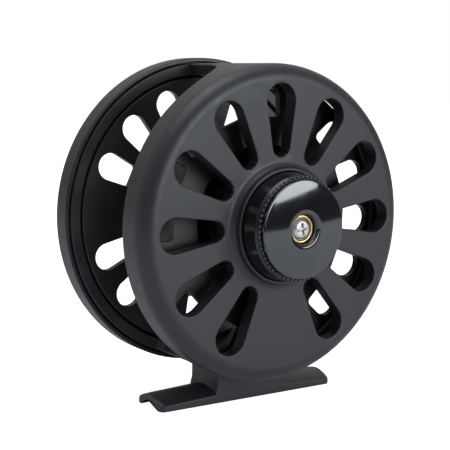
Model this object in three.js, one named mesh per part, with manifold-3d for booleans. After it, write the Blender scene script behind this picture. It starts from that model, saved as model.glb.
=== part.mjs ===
// A fly reel with an open moulded frame, a large-arbor spool and a drag knob on the back.
//
// Units are millimetres and +Z is up.  The axle runs along Y: the drag knob faces -Y and the
// winding handle faces +Y.  The origin is the flat crown of the foot's hollow underside, where
// the reel sits on the rod.  Inside the "works" group the axle is the Y axis itself, and y = 0
// is the outer face of the back plate.

import * as THREE from "three";
import { mergeVertices } from "three/addons/utils/BufferGeometryUtils.js";
import Module from "manifold-3d";

const wasm = await Module();
wasm.setup();

const DEG = Math.PI / 180;

// ---------------------------------------------------------------- driving dimensions

const AXLE_HEIGHT = 46.3; // axle above the foot's crown
const FACE_TO_FOOT = 18.5; // back plate's outer face to the foot's centre line
const GAP = 0.3; // between pieces that touch on the real reel
const SIDES = { large: 48, knob: 36, medium: 28, small: 16, tiny: 10 }; // flats round a turned piece

const FRAME = {
  radius: 41,
  corner: 4.1, // rounding of the back plate's edge
  plate: 4.1, // thickness of the back plate
  wallInside: 37.9,
  windowBack: 9.3, // where the line windows start
  windowFront: 37.5, // where the front ring starts
  ringFront: 40.3,
  topBridge: 4.6, // half widths of the two bridges between the plate and the ring
  footBridge: 12.6,
  topSweep: 20, // round corners beside the back plate
  footSweep: 9,
  nook: 3, // round corners beside the front ring
};

const SLOT = {
  count: 12, // places round the plate; the one over the foot stays solid
  turn: 1.3, // degrees that the whole ring of slots is turned
  outer: 31.65, // radius of the wide end's centre, and that end's own radius
  outerRound: 4.5,
  inner: 20.1,
  innerRound: 2.7,
};

const COLLAR = { radius: 14.8, inside: 14.2, height: 2.6, flare: 1.8 };
const WELL = { radius: 7, floor: 2 };
const INNER_BOSS = { radius: 13.4, end: 6.6 };

const FOOT = {
  halfLength: 27.7,
  halfWidth: 6.35,
  underside: -1.95, // long bottom edges below the crown
  seatHalfWidth: 1.4, // flat strip along the crown
  edgeToe: 1.65, // height of the long side at the toe and beside the stem
  edgeStem: 2.2,
  crownToe: 1.45, // top of the arch above the seat's crown
  crownStem: 2.05,
  lip: 0.75, // flat width of each bottom edge
};
const STEM = { halfLength: 10.7 };

const SPOOL = {
  flange: 37.4,
  thick: 2,
  arbor: 24,
  arborInside: 22,
  rear: 8.2, // back face of the rear flange
  front: 37.5, // back face of the front flange
  rimRadius: 42.5,
  rimWall: 1,
  rimBack: 37,
  coverBack: 40.7,
  coverFront: 42.7,
  coverInside: 36,
  spigot: { wall: 1.6, length: 3 }, // the rear flange's, inside the arbor
  slots: 16,
};
// The slots of the two flanges: where the first lies, in degrees, the centre and radius of the
// wide round end, and the place, half width and corner radius of the blunt end by the arbor.
const FRONT_SLOT = { turn: 155.5, outer: 31.7, outerRound: 3.65, inner: 24.35, half: 2.95, corner: 0.8 };
const REAR_SLOT = { turn: 156, outer: 31.9, outerRound: 3.9, inner: 27.4, half: 4.2, corner: 1.2 };
const HUB = {
  radius: 10.5,
  flange: 13.1, // carries the click gear
  back: 13.8,
  flangeEnd: 16.4,
  bore: 3.6,
  webBack: 22, // solid web between the clutch's seat and the bush's seat
  webFront: 29.4,
  clutchSeat: 8.3,
  bushSeat: 6.3,
};
const CLUTCH = { bore: 5.3, back: 14.2, front: 21.6 };

const HANDLE = {
  angle: 174.3,
  radius: 28.1,
  boss: 5,
  insert: 3,
  start: 43.6,
  length: 15,
  bore: 2.1,
  recess: 3.1,
};
const HANDLE_SCREW = { start: 38.9, thread: 1.4, journal: 1.8, head: 2.8, headSink: 0.3 };
const SPINDLE = { radius: 3, flange: 4.7, tail: 2.1, tailStart: -6.9, neck: 39.2, end: 44.2 };

const DRAG = {
  radius: 12.9,
  discFront: 8.5,
  plateBack: 8.8,
  plateFront: 10.3,
  bore: 3.3,
  sleeve: 5,
  sleeveFront: 21.2,
};
const WASHER = { bore: 2.6, radius: 6.2, thick: 0.6 };

const GEAR = { teeth: 24, tip: 14, root: 12.8, bore: 8.6, back: 12, front: 13.5, screwRadius: 11.2 };
const GEAR_SCREWS = [90, 210, 330]; // their angles round the axle
const GEAR_SCREW = { head: 1.5, shank: 0.8, hole: 1.1, headHeight: 0.9 };
const PAWL = { angle: 271, radius: 17.5, reach: 3.2, body: 1.9, hole: 1.1, springAngle: 253 };

const KNOB = {
  base: 13.8,
  rim: 13.1,
  back: -0.6,
  front: -8.2,
  wall: 1.7,
  roof: 1.5,
  hub: 6.2,
  hubBack: -3.9,
  cap: 12.5,
  face: -9.8,
};
const BUSH = { radius: 3.5, end: -8.4, counterbore: 2.95, bore: 2.4, flange: 5.8 };
const SCREW = { head: 2.75, face: -8.8, seat: -7.3, shank: 1.2, end: -3.6 };
const FRONT_CAP = { radius: 9, back: 40.8, front: 46.2, bore: 2.7, hollow: 44.5 };

// ---------------------------------------------------------------- shape helpers

/** Drops what booleans don't need and merges shared corners. */
function welded(geometry) {
  const bare = geometry.clone();
  bare.deleteAttribute("normal");
  bare.deleteAttribute("uv");
  return mergeVertices(bare, 1e-4);
}

/** A three.js closed mesh as a solid. */
function solid(geometry) {
  const mesh = welded(geometry);
  const corners = mesh.index.array;
  const kept = [];
  for (let i = 0; i < corners.length; i += 3) {
    const [a, b, c] = [corners[i], corners[i + 1], corners[i + 2]];
    if (a !== b && b !== c && c !== a) kept.push(a, b, c);
  }
  return new wasm.Manifold(
    new wasm.Mesh({
      numProp: 3,
      vertProperties: new Float32Array(mesh.attributes.position.array),
      triVerts: new Uint32Array(kept),
    }),
  );
}

/** A solid as a three.js geometry. */
function geometryOf(body) {
  const mesh = body.getMesh();
  const geometry = new THREE.BufferGeometry();
  geometry.setAttribute("position", new THREE.BufferAttribute(mesh.vertProperties, 3));
  geometry.setIndex(new THREE.BufferAttribute(mesh.triVerts, 1));
  geometry.computeVertexNormals();
  return geometry;
}

/** Turns a profile of [radius, y] points about the axle.  The points run anticlockwise. */
function turned(profile, segments = SIDES.medium) {
  const points = profile.map(([r, y]) => new THREE.Vector2(r, y));
  const openEnded = profile[0][0] === 0 && profile.at(-1)[0] === 0;
  if (!openEnded) points.push(points[0].clone());
  return solid(new THREE.LatheGeometry(points, segments));
}

/** A plain ring between two radii and two places on the axle. */
function ring(inside, outside, y0, y1, segments = SIDES.medium) {
  return turned([[inside, y0], [outside, y0], [outside, y1], [inside, y1]], segments);
}

/** A plain rod about the axle. */
function rod(radius, y0, y1, segments = SIDES.small) {
  return turned([[0, y0], [radius, y0], [radius, y1], [0, y1]], segments);
}

/** Points of a round corner from one angle to another, in degrees. */
function arc(cx, cy, radius, from, to, steps) {
  return Array.from({ length: steps + 1 }, (_, i) => {
    const angle = (from + ((to - from) * i) / steps) * DEG;
    return [cx + radius * Math.cos(angle), cy + radius * Math.sin(angle)];
  });
}

/** Extrudes an outline of the x-z plane along the axle, from y0 to y1. */
function axial(outline, y0, y1) {
  const shape = new THREE.Shape(outline.map(([x, z]) => new THREE.Vector2(x, z)));
  const geometry = new THREE.ExtrudeGeometry(shape, { depth: y1 - y0, bevelEnabled: false });
  return solid(geometry.rotateX(Math.PI / 2).translate(0, y1, 0));
}

/** Extrudes an outline of the x-y plane upwards, from z0 to z1. */
function upright(outline, z0, z1) {
  const shape = new THREE.Shape(outline.map(([x, y]) => new THREE.Vector2(x, y)));
  const geometry = new THREE.ExtrudeGeometry(shape, { depth: z1 - z0, bevelEnabled: false });
  return solid(geometry.translate(0, 0, z0));
}

/** A teardrop along +x: a wide round end, straight sides and a narrow round end. */
function teardrop(outer, outerRound, inner, innerRound, steps) {
  const lean = Math.asin((outerRound - innerRound) / (outer - inner)) / DEG;
  return [
    ...arc(outer, 0, outerRound, -90 - lean, 90 + lean, steps),
    ...arc(inner, 0, innerRound, 90 + lean, 270 - lean, Math.round(steps * 0.6)),
  ];
}

/** A slot along +x: a wide round end, straight sides and a blunt end with two round corners. */
function bluntSlot({ outer, outerRound, inner, half, corner }) {
  const run = [outer - inner - corner, corner - half];
  const heading = Math.atan2(run[1], run[0]);
  const side = (heading + Math.acos((corner - outerRound) / Math.hypot(...run))) / DEG;
  return [
    ...arc(outer, 0, outerRound, -side, side, 6),
    ...arc(inner + corner, half - corner, corner, side, 180, 2),
    ...arc(inner + corner, corner - half, corner, 180, 360 - side, 2),
  ];
}

/** An outline turned about the axle, in degrees, as seen from the drag knob's side. */
function spun(outline, angle) {
  const [c, s] = [Math.cos(angle * DEG), Math.sin(angle * DEG)];
  return outline.map(([x, z]) => [x * c - z * s, x * s + z * c]);
}

/** Moves a solid off the axle to a radius and an angle in degrees. */
function atPolar(body, radius, angle) {
  return body.translate([radius * Math.cos(angle * DEG), 0, radius * Math.sin(angle * DEG)]);
}

/** The point of the x-z plane at a radius and an angle in degrees. */
function polar(radius, angle) {
  return [radius * Math.cos(angle * DEG), radius * Math.sin(angle * DEG)];
}

const joined = (bodies) => bodies.reduce((sum, body) => sum.add(body));

// ---------------------------------------------------------------- materials

const MATERIALS = {
  body: new THREE.MeshStandardMaterial({ color: 0x3b3d41, roughness: 0.55, metalness: 0 }),
  gloss: new THREE.MeshStandardMaterial({ color: 0x0c0e11, roughness: 0.12, metalness: 0 }),
  steel: new THREE.MeshStandardMaterial({ color: 0xb9bbbd, roughness: 0.3, metalness: 1 }),
  brass: new THREE.MeshStandardMaterial({ color: 0xc9a04e, roughness: 0.3, metalness: 1 }),
  cork: new THREE.MeshStandardMaterial({ color: 0xa9784c, roughness: 0.9, metalness: 0 }),
};

const works = new THREE.Group();
works.position.set(0, -FACE_TO_FOOT, AXLE_HEIGHT);

function add(name, body, material) {
  const mesh = new THREE.Mesh(geometryOf(body), MATERIALS[material]);
  mesh.name = name;
  works.add(mesh);
}

// ---------------------------------------------------------------- frame

/** Back plate, its rounded edge, the collar round the knob and the boss inside. */
function backPlate() {
  const { radius, corner, plate, wallInside, windowBack } = FRAME;
  const { radius: collar, inside, height, flare } = COLLAR;
  const bore = SPINDLE.radius + 0.4;
  return turned(
    [
      [bore, WELL.floor],
      [WELL.radius, WELL.floor],
      [WELL.radius, 0],
      [inside, 0],
      [inside, -height],
      [collar, -height],
      ...arc(collar + flare, -flare, flare, 180, 90, 2),
      ...arc(radius - corner, corner, corner, -90, 0, 4),
      [radius, windowBack],
      [wallInside, windowBack],
      [wallInside, plate],
      [INNER_BOSS.radius, plate],
      [INNER_BOSS.radius, INNER_BOSS.end],
      [bore, INNER_BOSS.end],
    ],
    SIDES.large,
  );
}

/** Outline, seen from above, of one bridge: narrow in front, sweeping out to the back plate. */
function bridgeOutline(half, sweep) {
  const { windowBack, windowFront, nook } = FRAME;
  const inBack = windowBack - 1; // runs a little into the plate's wall and the front ring
  const inFront = windowFront + 1;
  const side = [
    [half + sweep, inBack],
    ...arc(half + sweep, windowBack + sweep, sweep, 270, 180, 8),
    ...arc(half + nook, windowFront - nook, nook, 180, 90, 3),
    [half + nook, inFront],
  ];
  return [...side, ...side.map(([x, y]) => [-x, y]).reverse()];
}

/** The two bridges: pieces of one tube, the upper narrow and the lower over the foot. */
function bridges() {
  const { radius, wallInside, windowBack, windowFront } = FRAME;
  const tube = ring(wallInside, radius, windowBack - 0.5, windowFront + 0.5, SIDES.large);
  const top = upright(bridgeOutline(FRAME.topBridge, FRAME.topSweep), 10, radius + 1);
  const bottom = upright(bridgeOutline(FRAME.footBridge, FRAME.footSweep), -radius - 1, -10);
  return tube.intersect(top.add(bottom));
}

/** One cross-section of the foot, [y, z] from the seat, for a place along the rod. */
function footSection(edge, crown) {
  const { halfWidth, underside, seatHalfWidth, lip } = FOOT;
  const top = underside + edge;
  const under = halfWidth - lip;
  const rise = (y, span, height) => height * (1 - (y / span) ** 2);
  const across = [1, 0.72, 0.4, 0, -0.4, -0.72, -1];
  return [
    [under, underside],
    [halfWidth, underside],
    ...across.map((k) => [k * halfWidth, top + rise(k, 1, crown - top)]),
    [-halfWidth, underside],
    [-under, underside],
    [-under * 0.6, underside * 0.36],
    [-seatHalfWidth, 0],
    [seatHalfWidth, 0],
    [under * 0.6, underside * 0.36],
  ];
}

/** Joins cross-sections placed along x into one closed solid. */
function lofted(sections) {
  const sides = sections[0].points.length;
  const vertices = sections.flatMap(({ x, points }) => points.flatMap(([y, z]) => [x, y, z]));
  const index = [];
  for (let s = 0; s + 1 < sections.length; s += 1) {
    for (let i = 0; i < sides; i += 1) {
      const [a, b] = [s * sides + i, s * sides + ((i + 1) % sides)];
      index.push(a, b, a + sides, b, b + sides, a + sides);
    }
  }
  const flat = sections[0].points.map(([y, z]) => new THREE.Vector2(y, z));
  const caps = THREE.ShapeUtils.triangulateShape(flat, []);
  const last = (sections.length - 1) * sides;
  for (const [a, b, c] of caps) index.push(c, b, a, last + a, last + b, last + c);
  const geometry = new THREE.BufferGeometry();
  geometry.setAttribute("position", new THREE.Float32BufferAttribute(vertices, 3));
  geometry.setIndex(index);
  return solid(geometry);
}

/** The saddle foot: an arched plate whose toes thin out, on a short rectangular stem. */
function footAndStem() {
  const { halfLength, halfWidth, edgeToe, edgeStem, crownToe, crownStem } = FOOT;
  const toe = footSection(edgeToe, crownToe);
  const middle = footSection(edgeStem, crownStem);
  const foot = lofted([
    { x: -halfLength, points: toe },
    { x: -STEM.halfLength, points: middle },
    { x: STEM.halfLength, points: middle },
    { x: halfLength, points: toe },
  ]);
  const stemTop = AXLE_HEIGHT - (FRAME.radius + FRAME.wallInside) / 2 + 0.4;
  const plan = [
    [-STEM.halfLength, -halfWidth],
    [STEM.halfLength, -halfWidth],
    [STEM.halfLength, halfWidth],
    [-STEM.halfLength, halfWidth],
  ];
  const stem = upright(plan, 0.4, stemTop + 1.6);
  const inside = rod(FRAME.wallInside, 0, 40, SIDES.large).translate([0, -FACE_TO_FOOT, AXLE_HEIGHT]);
  return foot.add(stem.subtract(inside)).translate([0, FACE_TO_FOOT, -AXLE_HEIGHT]);
}

/** The post that carries the click pawl, with a hole for its screw. */
function pawlPost() {
  const post = ring(PAWL.hole, 1.8, FRAME.plate - 0.5, GEAR.back - GAP, SIDES.small);
  return atPolar(post, PAWL.radius, PAWL.angle);
}

/** The plain peg that holds the pawl's spring. */
function springPeg() {
  return atPolar(rod(0.9, FRAME.plate - 0.5, GEAR.front, SIDES.tiny), PAWL.radius, PAWL.springAngle);
}

function frame() {
  const { ringFront, windowFront, radius, wallInside } = FRAME;
  const drop = teardrop(SLOT.outer, SLOT.outerRound, SLOT.inner, SLOT.innerRound, 7);
  const slots = [];
  for (let i = 0; i < SLOT.count; i += 1) {
    const angle = (360 / SLOT.count) * i;
    if (angle !== 270) slots.push(axial(spun(drop, angle + SLOT.turn), -1, FRAME.plate + 0.5));
  }
  const shell = joined([
    backPlate(),
    bridges(),
    ring(wallInside, radius, windowFront, ringFront, SIDES.large),
    footAndStem(),
    pawlPost(),
    springPeg(),
  ]);
  return shell.subtract(joined(slots));
}

// ---------------------------------------------------------------- spool

/** Cutters for the ring of slots in a flange; the front flange keeps one place solid. */
function spoolSlots(slot, y0, y1, keepHandlePlace) {
  const outline = bluntSlot(slot);
  const first = keepHandlePlace ? 0 : -1;
  const cutters = [];
  for (let i = first; i < SPOOL.slots - 1; i += 1) {
    cutters.push(axial(spun(outline, slot.turn - (360 / SPOOL.slots) * i), y0, y1));
  }
  return joined(cutters);
}

/** Front flange with its palming rim, the arbor and the hub, in one moulding. */
function spoolBody() {
  const { flange, thick, arbor, arborInside, rear, front, rimRadius, rimWall } = SPOOL;
  const { rimBack, coverBack, coverFront, coverInside } = SPOOL;
  const { bore, webBack, webFront, clutchSeat, bushSeat } = HUB;
  const face = front + thick;
  const arborBack = rear + thick + GAP;
  const body = turned(
    [
      [bore, webBack],
      [clutchSeat, webBack],
      [clutchSeat, HUB.back],
      [HUB.flange, HUB.back],
      [HUB.flange, HUB.flangeEnd],
      [HUB.radius, HUB.flangeEnd],
      [HUB.radius, front - 0.5],
      [arborInside, front - 0.5],
      [arborInside, arborBack],
      [arbor, arborBack],
      [arbor, front],
      [flange, front],
      [flange, coverBack],
      [rimRadius - rimWall, coverBack],
      [rimRadius - rimWall, rimBack],
      [rimRadius, rimBack],
      [rimRadius, coverFront - 0.5],
      [rimRadius - 0.5, coverFront],
      [coverInside, coverFront],
      [coverInside, face],
      [bushSeat, face],
      [bushSeat, webFront],
      [bore, webFront],
    ],
    SIDES.large,
  );
  const { radius, angle, boss, insert } = HANDLE;
  const handleBoss = atPolar(rod(boss, face - 0.5, coverFront - GAP, SIDES.small), radius, angle);
  const insertHole = atPolar(rod(insert + GAP, front + 1, coverFront + 1, SIDES.small), radius, angle);
  const screwHoles = GEAR_SCREWS.map((place) =>
    atPolar(rod(GEAR_SCREW.hole, HUB.back - 1, HUB.flangeEnd - 0.5, SIDES.tiny), GEAR.screwRadius, place),
  );
  return body
    .add(handleBoss)
    .subtract(insertHole)
    .subtract(spoolSlots(FRONT_SLOT, front - 1, face + 1, true))
    .subtract(joined(screwHoles));
}

/** The rear flange, with a spigot that fits inside the arbor. */
function rearFlange() {
  const { flange, thick, arborInside, rear, spigot } = SPOOL;
  const outside = arborInside - GAP;
  const inside = outside - spigot.wall;
  const face = rear + thick;
  const body = turned(
    [
      [inside, rear],
      [flange, rear],
      [flange, face],
      [outside, face],
      [outside, face + spigot.length],
      [inside, face + spigot.length],
    ],
    SIDES.large,
  );
  return body.subtract(spoolSlots(REAR_SLOT, rear - 1, face + 1, false));
}

/** The toothed ring behind the spool's hub, with three screw holes. */
function clickGear() {
  const step = 360 / GEAR.teeth;
  const outline = [];
  for (let i = 0; i < GEAR.teeth; i += 1) {
    outline.push(polar(GEAR.root, i * step), polar(GEAR.tip, (i + 0.5) * step));
  }
  const holes = GEAR_SCREWS.map((place) =>
    atPolar(rod(GEAR_SCREW.hole, GEAR.back - 1, GEAR.front + 1, SIDES.tiny), GEAR.screwRadius, place),
  );
  return axial(outline, GEAR.back, GEAR.front)
    .subtract(rod(GEAR.bore, GEAR.back - 1, GEAR.front + 1))
    .subtract(joined(holes));
}

/** A cross-slotted pan-head screw about the axle, its head towards -Y. */
function crossScrew(head, shank, top, seat, end, slot) {
  const { halfLength, halfWidth, depth } = slot;
  const body = turned(
    [
      [0, top],
      [head * 0.75, top],
      [head, top + (seat - top) * 0.4],
      [head, seat],
      [shank, seat],
      [shank, end],
      [0, end],
    ],
    SIDES.small,
  );
  const bar = (halfX, halfZ) =>
    axial([[-halfX, -halfZ], [halfX, -halfZ], [halfX, halfZ], [-halfX, halfZ]], top - 1, top + depth);
  return body.subtract(bar(halfLength, halfWidth)).subtract(bar(halfWidth, halfLength));
}

function addSpool() {
  const slot = { halfLength: 0.9, halfWidth: 0.2, depth: 0.4 };
  add("spool_body", spoolBody(), "body");
  add("spool_rear_flange", rearFlange(), "body");
  const bushBore = SPINDLE.radius + GAP;
  add("spool_bush", ring(bushBore, HUB.bushSeat - GAP, HUB.webFront + GAP, SPINDLE.neck), "brass");
  add("clutch_bearing", ring(CLUTCH.bore, HUB.clutchSeat - GAP, CLUTCH.back, CLUTCH.front), "steel");
  add("click_gear", clickGear(), "steel");
  const { head, shank, headHeight } = GEAR_SCREW;
  const seat = GEAR.back - GAP;
  GEAR_SCREWS.forEach((place, i) => {
    const screw = crossScrew(head, shank, seat - headHeight, seat, HUB.flangeEnd - 0.8, slot);
    add(`gear_screw_${i + 1}`, atPolar(screw, GEAR.screwRadius, place), "steel");
  });
}

// ---------------------------------------------------------------- handle

function addHandle() {
  const { radius, angle, insert, start, length, bore, recess } = HANDLE;
  const { thread, journal, head, headSink } = HANDLE_SCREW;
  const place = (body) => atPolar(body, radius, angle);
  const end = start + length;
  const seat = end - 2.6; // floor of the recess for the screw's head
  const grip = turned(
    [
      [bore, start],
      [4, start],
      [4.4, start + 0.8],
      [3.9, start + 4],
      [4.3, start + 8],
      [5, start + 11.5],
      [4.9, end - 1.2],
      [4, end],
      [recess, end],
      [recess, seat],
      [bore, seat],
    ],
    SIDES.small,
  );
  const screw = turned(
    [
      [0, HANDLE_SCREW.start],
      [thread, HANDLE_SCREW.start],
      [thread, SPOOL.coverFront],
      [journal, SPOOL.coverFront],
      [journal, seat + GAP],
      [head, seat + GAP],
      [head, end - headSink - 0.4],
      [head - 0.6, end - headSink],
      [0, end - headSink],
    ],
    SIDES.small,
  );
  add("handle_knob", place(grip), "gloss");
  add("handle_screw", place(screw), "steel");
  const sleeve = ring(thread + GAP, insert, HANDLE_SCREW.start - 0.1, SPOOL.coverFront - 0.4, SIDES.small);
  add("handle_insert", place(sleeve), "brass");
  add("handle_washer", place(ring(bore, 4.1, start - 0.8, start - GAP, SIDES.small)), "steel");
}

// ---------------------------------------------------------------- spindle and drag

function addDrag() {
  const { radius, flange, tail, tailStart, neck, end } = SPINDLE;
  const { discFront, plateBack, plateFront, sleeve, sleeveFront } = DRAG;
  const seat = INNER_BOSS.end + GAP;
  const spindle = turned(
    [
      [0, -3],
      [1.5, -3],
      [1.5, tailStart],
      [tail, tailStart],
      [tail, WELL.floor + GAP],
      [radius, WELL.floor + GAP],
      [radius, seat],
      [flange, seat],
      [flange, seat + 1.5],
      [radius, seat + 1.5],
      [radius, neck],
      [2.4, neck],
      [2.4, end],
      [0, end],
    ],
    SIDES.small,
  );
  add("spindle", spindle, "steel");
  add("drag_disc", ring(flange + 0.4, DRAG.radius, seat, discFront), "cork");
  const plate = turned([
    [DRAG.bore, plateBack],
    [DRAG.radius, plateBack],
    [DRAG.radius, plateFront],
    [sleeve, plateFront],
    [sleeve, sleeveFront],
    [DRAG.bore, sleeveFront],
  ]);
  add("drag_plate", plate, "steel");
  add("thrust_washer", ring(WASHER.bore, WASHER.radius, -2.1, -1.3), "steel");
  add("spring_washer_1", dishedWasher(-0.9, -0.3), "steel");
  add("spring_washer_2", dishedWasher(1.1, 0.6), "steel");
}

/** A dished spring washer, given where its bore and its outer edge start along the axle. */
function dishedWasher(bore, edge) {
  const { bore: inside, radius, thick } = WASHER;
  return turned([[inside, bore], [radius, edge], [radius, edge + thick], [inside, bore + thick]]);
}

// ---------------------------------------------------------------- drag knob

function addKnob() {
  const { base, rim, back, front, wall, hub, hubBack, cap, face } = KNOB;
  const { radius, end, counterbore, bore, flange } = BUSH;
  const roof = front + KNOB.roof;
  const knob = turned(
    [
      [radius + GAP, front],
      [rim, front],
      [base, back],
      [base - wall, back],
      [base - wall, roof],
      [hub, roof],
      [hub, hubBack],
      [radius + GAP, hubBack],
    ],
    SIDES.knob,
  );
  const lip = front - GAP;
  const capBody = turned(
    [
      [radius + GAP, lip],
      [radius + GAP, face + 0.7],
      [4.5, face],
      [cap - 0.7, face],
      [cap - 0.2, face + 0.2],
      [cap, face + 0.7],
      [cap, lip],
    ],
    SIDES.knob,
  );
  const bush = turned(
    [
      [bore, -2.4],
      [bore, SCREW.seat + GAP],
      [counterbore, SCREW.seat + GAP],
      [counterbore, end],
      [radius, end],
      [radius, hubBack + GAP],
      [flange, hubBack + GAP],
      [flange, -2.4],
    ],
    SIDES.small,
  );
  const slot = { halfLength: 1.7, halfWidth: 0.35, depth: 0.8 };
  add("drag_knob", knob, "gloss");
  add("knob_cap", capBody, "gloss");
  add("drag_bush", bush, "brass");
  add("knob_screw", crossScrew(SCREW.head, SCREW.shank, SCREW.face, SCREW.seat, SCREW.end, slot), "steel");
}

// ---------------------------------------------------------------- click pawl

function addPawl() {
  const { angle, radius, reach, body, hole, springAngle } = PAWL;
  const outline = [...arc(0, 0, body, 40, 320, 8), [reach, -0.15], [reach, 0.15]];
  const pawl = axial(spun(outline, angle + 180), GEAR.back, GEAR.front - 0.1).subtract(
    rod(hole, GEAR.back - 1, GEAR.front + 1, SIDES.small),
  );
  const { head, shank, seat } = { head: 1.7, shank: 0.8, seat: GEAR.front + 0.2 };
  const screw = turned(
    [
      [0, FRAME.plate + 0.9],
      [shank, FRAME.plate + 0.9],
      [shank, seat],
      [head, seat],
      [head, seat + 0.6],
      [head * 0.7, seat + 0.9],
      [0, seat + 0.9],
    ],
    SIDES.small,
  );
  add("click_pawl", atPolar(pawl, radius, angle), "steel");
  add("pawl_screw", atPolar(screw, radius, angle), "steel");

  // The spring's eye sits on its peg and its arm bears on the pawl's flank.
  const peg = polar(radius, springAngle);
  const pivot = polar(radius, angle);
  const run = Math.hypot(pivot[0] - peg[0], pivot[1] - peg[1]) - body - GAP;
  const [near, far] = [GEAR.back + 0.1, GEAR.front - 0.4];
  const arm = axial([[1.4, -0.2], [run, -0.2], [run, 0.2], [1.4, 0.2]], near, far);
  const heading = Math.atan2(pivot[1] - peg[1], pivot[0] - peg[0]);
  const spring = ring(1.2, 1.7, near, far, SIDES.small).add(arm.rotate([0, -heading / DEG, 0]));
  add("pawl_spring", atPolar(spring, radius, springAngle), "steel");
}

// ---------------------------------------------------------------- front cap

function addFrontCap() {
  const { radius, back, front, bore, hollow } = FRONT_CAP;
  const cap = turned([
    [0, front],
    [0, hollow],
    [bore, hollow],
    [bore, back],
    [radius - 0.4, back],
    [radius, back + 0.4],
    [radius, front - 1.6],
    [radius - 1, front - 0.4],
  ]);
  add("spool_cap", cap, "gloss");
  add("cap_washer", ring(bore, 6.6, back - 1, back - GAP), "steel");
}

add("frame", frame(), "body");
addSpool();
addHandle();
addDrag();
addKnob();
addPawl();
addFrontCap();

const reel = new THREE.Group();
reel.add(works);

export default reel;
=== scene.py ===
import math
from functools import partial

import bmesh
import bpy
import numpy as np
from mathutils import Matrix, Quaternion, Vector
from mathutils.geometry import delaunay_2d_cdt


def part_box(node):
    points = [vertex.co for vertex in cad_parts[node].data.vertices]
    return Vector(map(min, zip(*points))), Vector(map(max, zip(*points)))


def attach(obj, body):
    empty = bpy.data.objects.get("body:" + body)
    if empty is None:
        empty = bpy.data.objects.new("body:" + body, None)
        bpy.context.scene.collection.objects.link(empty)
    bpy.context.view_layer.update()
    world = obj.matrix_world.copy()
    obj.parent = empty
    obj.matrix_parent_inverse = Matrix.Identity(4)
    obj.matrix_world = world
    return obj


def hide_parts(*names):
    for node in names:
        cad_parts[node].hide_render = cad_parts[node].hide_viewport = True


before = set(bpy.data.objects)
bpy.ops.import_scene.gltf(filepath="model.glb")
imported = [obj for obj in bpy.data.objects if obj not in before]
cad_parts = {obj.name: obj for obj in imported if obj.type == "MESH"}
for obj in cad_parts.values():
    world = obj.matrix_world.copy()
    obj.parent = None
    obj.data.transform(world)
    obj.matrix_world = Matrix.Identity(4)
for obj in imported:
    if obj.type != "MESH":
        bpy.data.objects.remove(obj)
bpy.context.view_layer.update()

# Sizes are in millimetres in the works frame: the axle is the Y axis, y = 0 is the outer face of
# the back plate, and the drag knob is towards -Y.

MM = 0.001
FACE_BEHIND_COLLAR = 2.6  # from the frame's foremost edge to the back plate's face
spool_low, spool_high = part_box("spool_body")
frame_low, frame_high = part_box("frame")
AXLE_X = (spool_low.x + spool_high.x) / 2
AXLE_Z = (spool_low.z + spool_high.z) / 2
FACE_Y = frame_low.y + FACE_BEHIND_COLLAR * MM


def to_row(point):
    """A point of the works frame, in millimetres, as a point of the row frame, in metres."""
    return (AXLE_X + point[0] * MM, FACE_Y + point[1] * MM, AXLE_Z + point[2] * MM)


# ---------------------------------------------------------------- camera

CAMERA_AT = (-174.96, -228.4, 37.07)
CAMERA_HEADING = -34.58  # degrees, seen from above, from looking straight along the axle
CAMERA_TILT = 82.67  # degrees up from looking straight down
CAMERA_ROLL = 0.94  # degrees
CAMERA_LENS = 90.82
CAMERA_SHIFT = -0.0022
CAMERA_SENSOR = 36

camera_data = bpy.data.cameras.new("camera")
camera_data.lens = CAMERA_LENS
camera_data.shift_y = CAMERA_SHIFT
camera_data.sensor_width = CAMERA_SENSOR
camera_data.clip_start = 0.01
camera_data.clip_end = 50
camera = bpy.data.objects.new("camera", camera_data)
bpy.context.scene.collection.objects.link(camera)
turn = Matrix.Identity(4)
for angle, axis in ((CAMERA_HEADING, "Z"), (CAMERA_TILT, "X"), (CAMERA_ROLL, "Z")):
    turn @= Matrix.Rotation(math.radians(angle), 4, axis)
camera.matrix_world = Matrix.Translation(to_row(CAMERA_AT)) @ turn
bpy.context.scene.camera = camera

# ---------------------------------------------------------------- materials


def material(name, colour, roughness, metallic=0.0):
    """A Principled material and its node helpers."""
    made = bpy.data.materials.new(name)
    made.use_nodes = True
    nodes, links = made.node_tree.nodes, made.node_tree.links
    shader = nodes["Principled BSDF"]
    shader.inputs["Base Color"].default_value = (*colour, 1)
    shader.inputs["Roughness"].default_value = roughness
    shader.inputs["Metallic"].default_value = metallic
    made.diffuse_color = (*colour, 1)
    return made, nodes, links, shader


def noise(nodes, links, coords, scale, detail=3.0, rough=0.5):
    node = nodes.new("ShaderNodeTexNoise")
    node.inputs["Scale"].default_value = scale
    node.inputs["Detail"].default_value = detail
    node.inputs["Roughness"].default_value = rough
    links.new(coords, node.inputs["Vector"])
    return node.outputs["Fac"]


def remap(nodes, links, value, low, high, start=0.3, end=0.7):
    node = nodes.new("ShaderNodeMapRange")
    node.inputs["From Min"].default_value = start
    node.inputs["From Max"].default_value = end
    node.inputs["To Min"].default_value = low
    node.inputs["To Max"].default_value = high
    links.new(value, node.inputs["Value"])
    return node.outputs["Result"]


def blend_colours(nodes, links, value, low, high):
    node = nodes.new("ShaderNodeValToRGB")
    node.color_ramp.elements[0].position = 0.35
    node.color_ramp.elements[0].color = (*low, 1)
    node.color_ramp.elements[1].position = 0.65
    node.color_ramp.elements[1].color = (*high, 1)
    links.new(value, node.inputs["Fac"])
    return node.outputs["Color"]


def bump(nodes, links, height, distance, strength, normal=None):
    node = nodes.new("ShaderNodeBump")
    node.inputs["Distance"].default_value = distance
    node.inputs["Strength"].default_value = strength
    links.new(height, node.inputs["Height"])
    if normal is not None:
        links.new(normal, node.inputs["Normal"])
    return node.outputs["Normal"]


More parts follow.
